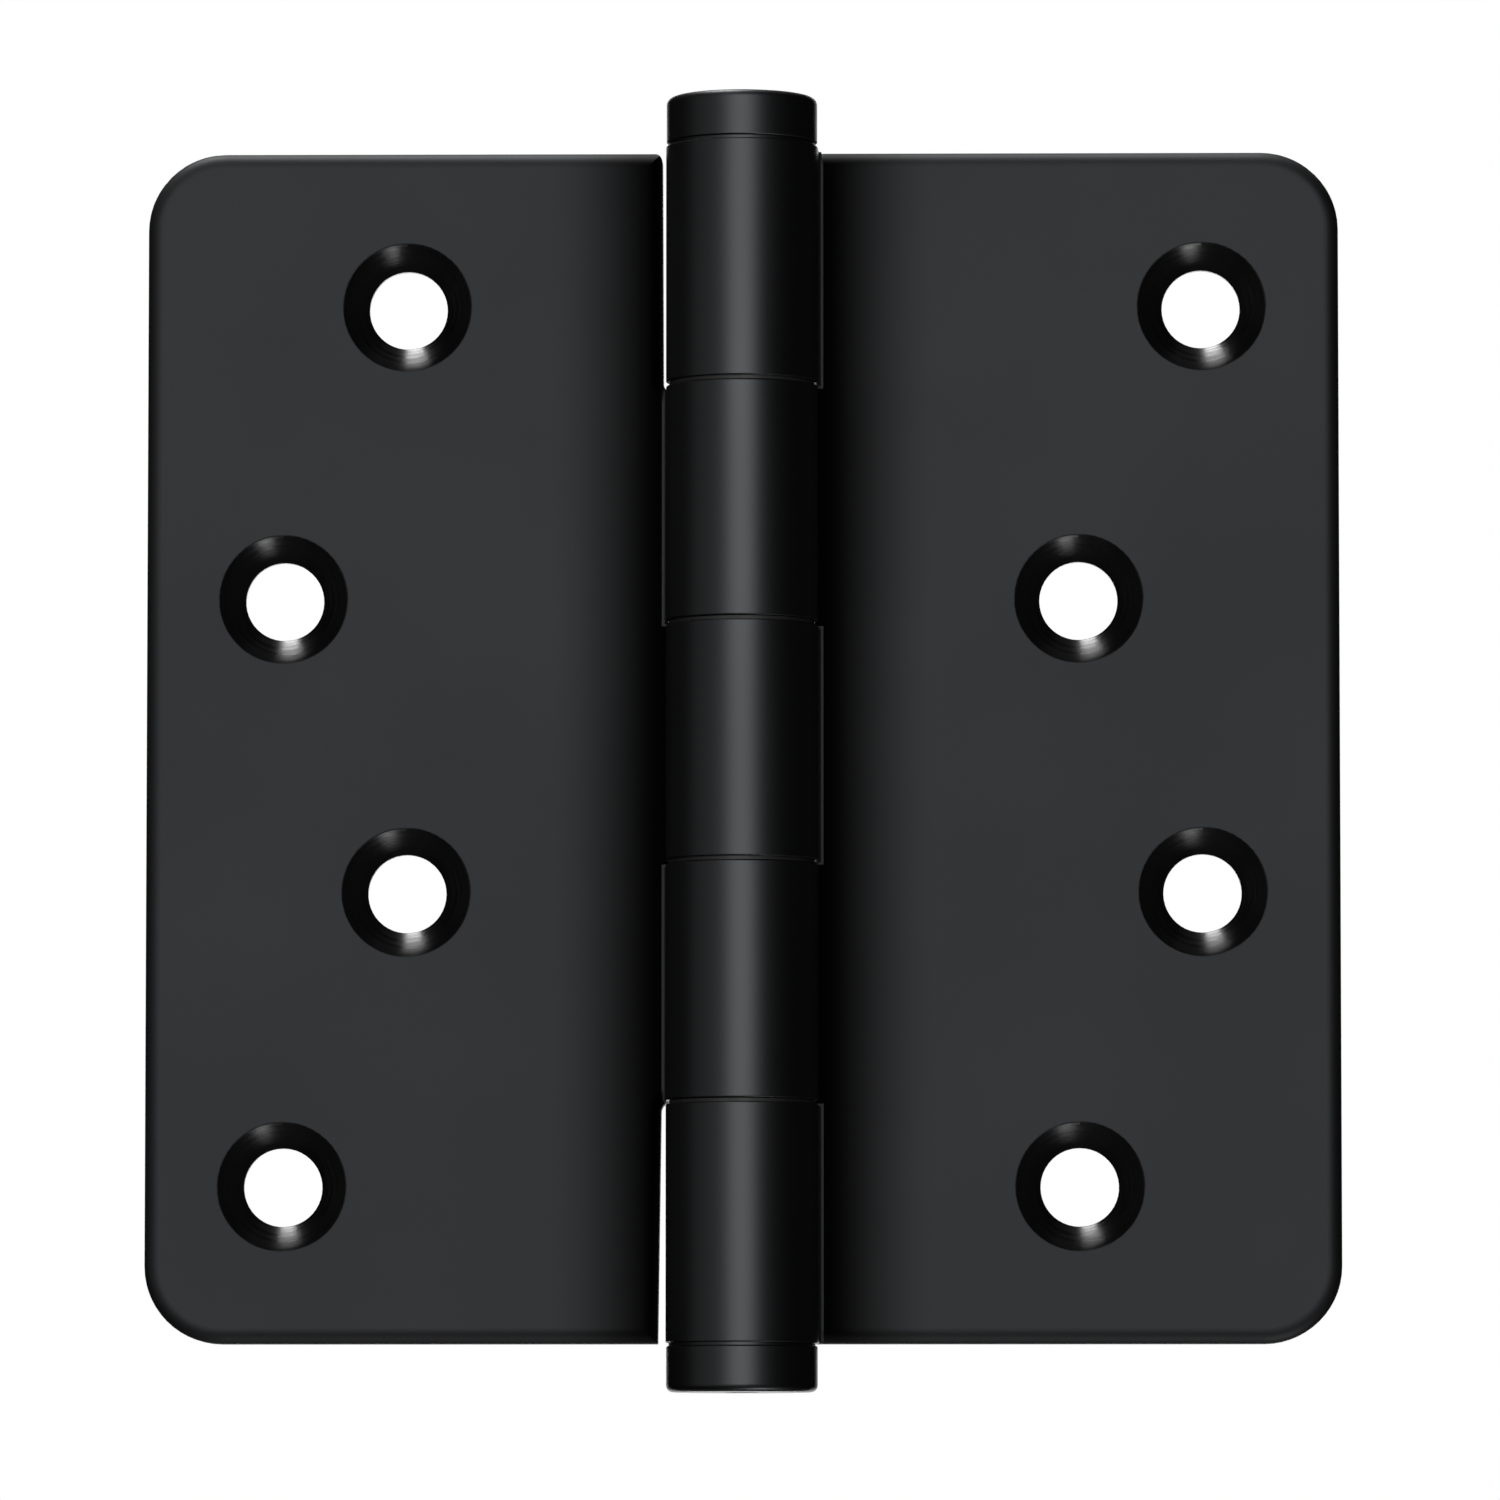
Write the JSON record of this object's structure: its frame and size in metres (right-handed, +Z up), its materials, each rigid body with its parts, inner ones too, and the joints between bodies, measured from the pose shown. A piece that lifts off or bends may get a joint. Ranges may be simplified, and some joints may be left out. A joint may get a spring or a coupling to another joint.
{
  "type": "door hinge",
  "caption": "Flat butt hinge with rounded leaf corners, interleaved barrel knuckles and a removable pin with flat button tips, for hanging a swing door.",
  "frame": {"origin": "on the pin's axis at the leaves' mid-height", "axes": "+Z up along the pin's axis, towards the pin's head; +X across from the door leaf to the jamb leaf; +Y towards the leaves' flat backs, which lie against the door and the jamb; the countersunk faces and the barrel look towards -Y; at rest the hinge is open flat at 180 degrees"},
  "size_m": [0.1016, 0.0129, 0.1098],
  "materials": {
    "black_powder_coat": "satin black coating on steel",
    "pin_steel": "ground steel",
    "black_nylon": "black nylon"
  },
  "bodies": {
    "jamb": {"jamb_leaf": "black_powder_coat", "bottom_button_tip": "black_powder_coat", "knuckle_washer_1": "black_nylon", "knuckle_washer_2": "black_nylon", "knuckle_washer_3": "black_nylon", "knuckle_washer_4": "black_nylon"},
    "door": {"door_leaf": "black_powder_coat"},
    "pin": {"hinge_pin": "pin_steel", "top_button_tip": "black_powder_coat"}
  },
  "joints": [
    {"name": "leaf_swing", "type": "hinge", "parent": "jamb", "child": "door", "pos_m": [0, 0, 0], "axis": [0, 0, 1], "range_deg": [-80, 180]},
    {"name": "pin_pull", "type": "slide", "parent": "jamb", "child": "pin", "axis": [0, 0, 1], "range_m": [0, 0.09]}
  ]
}
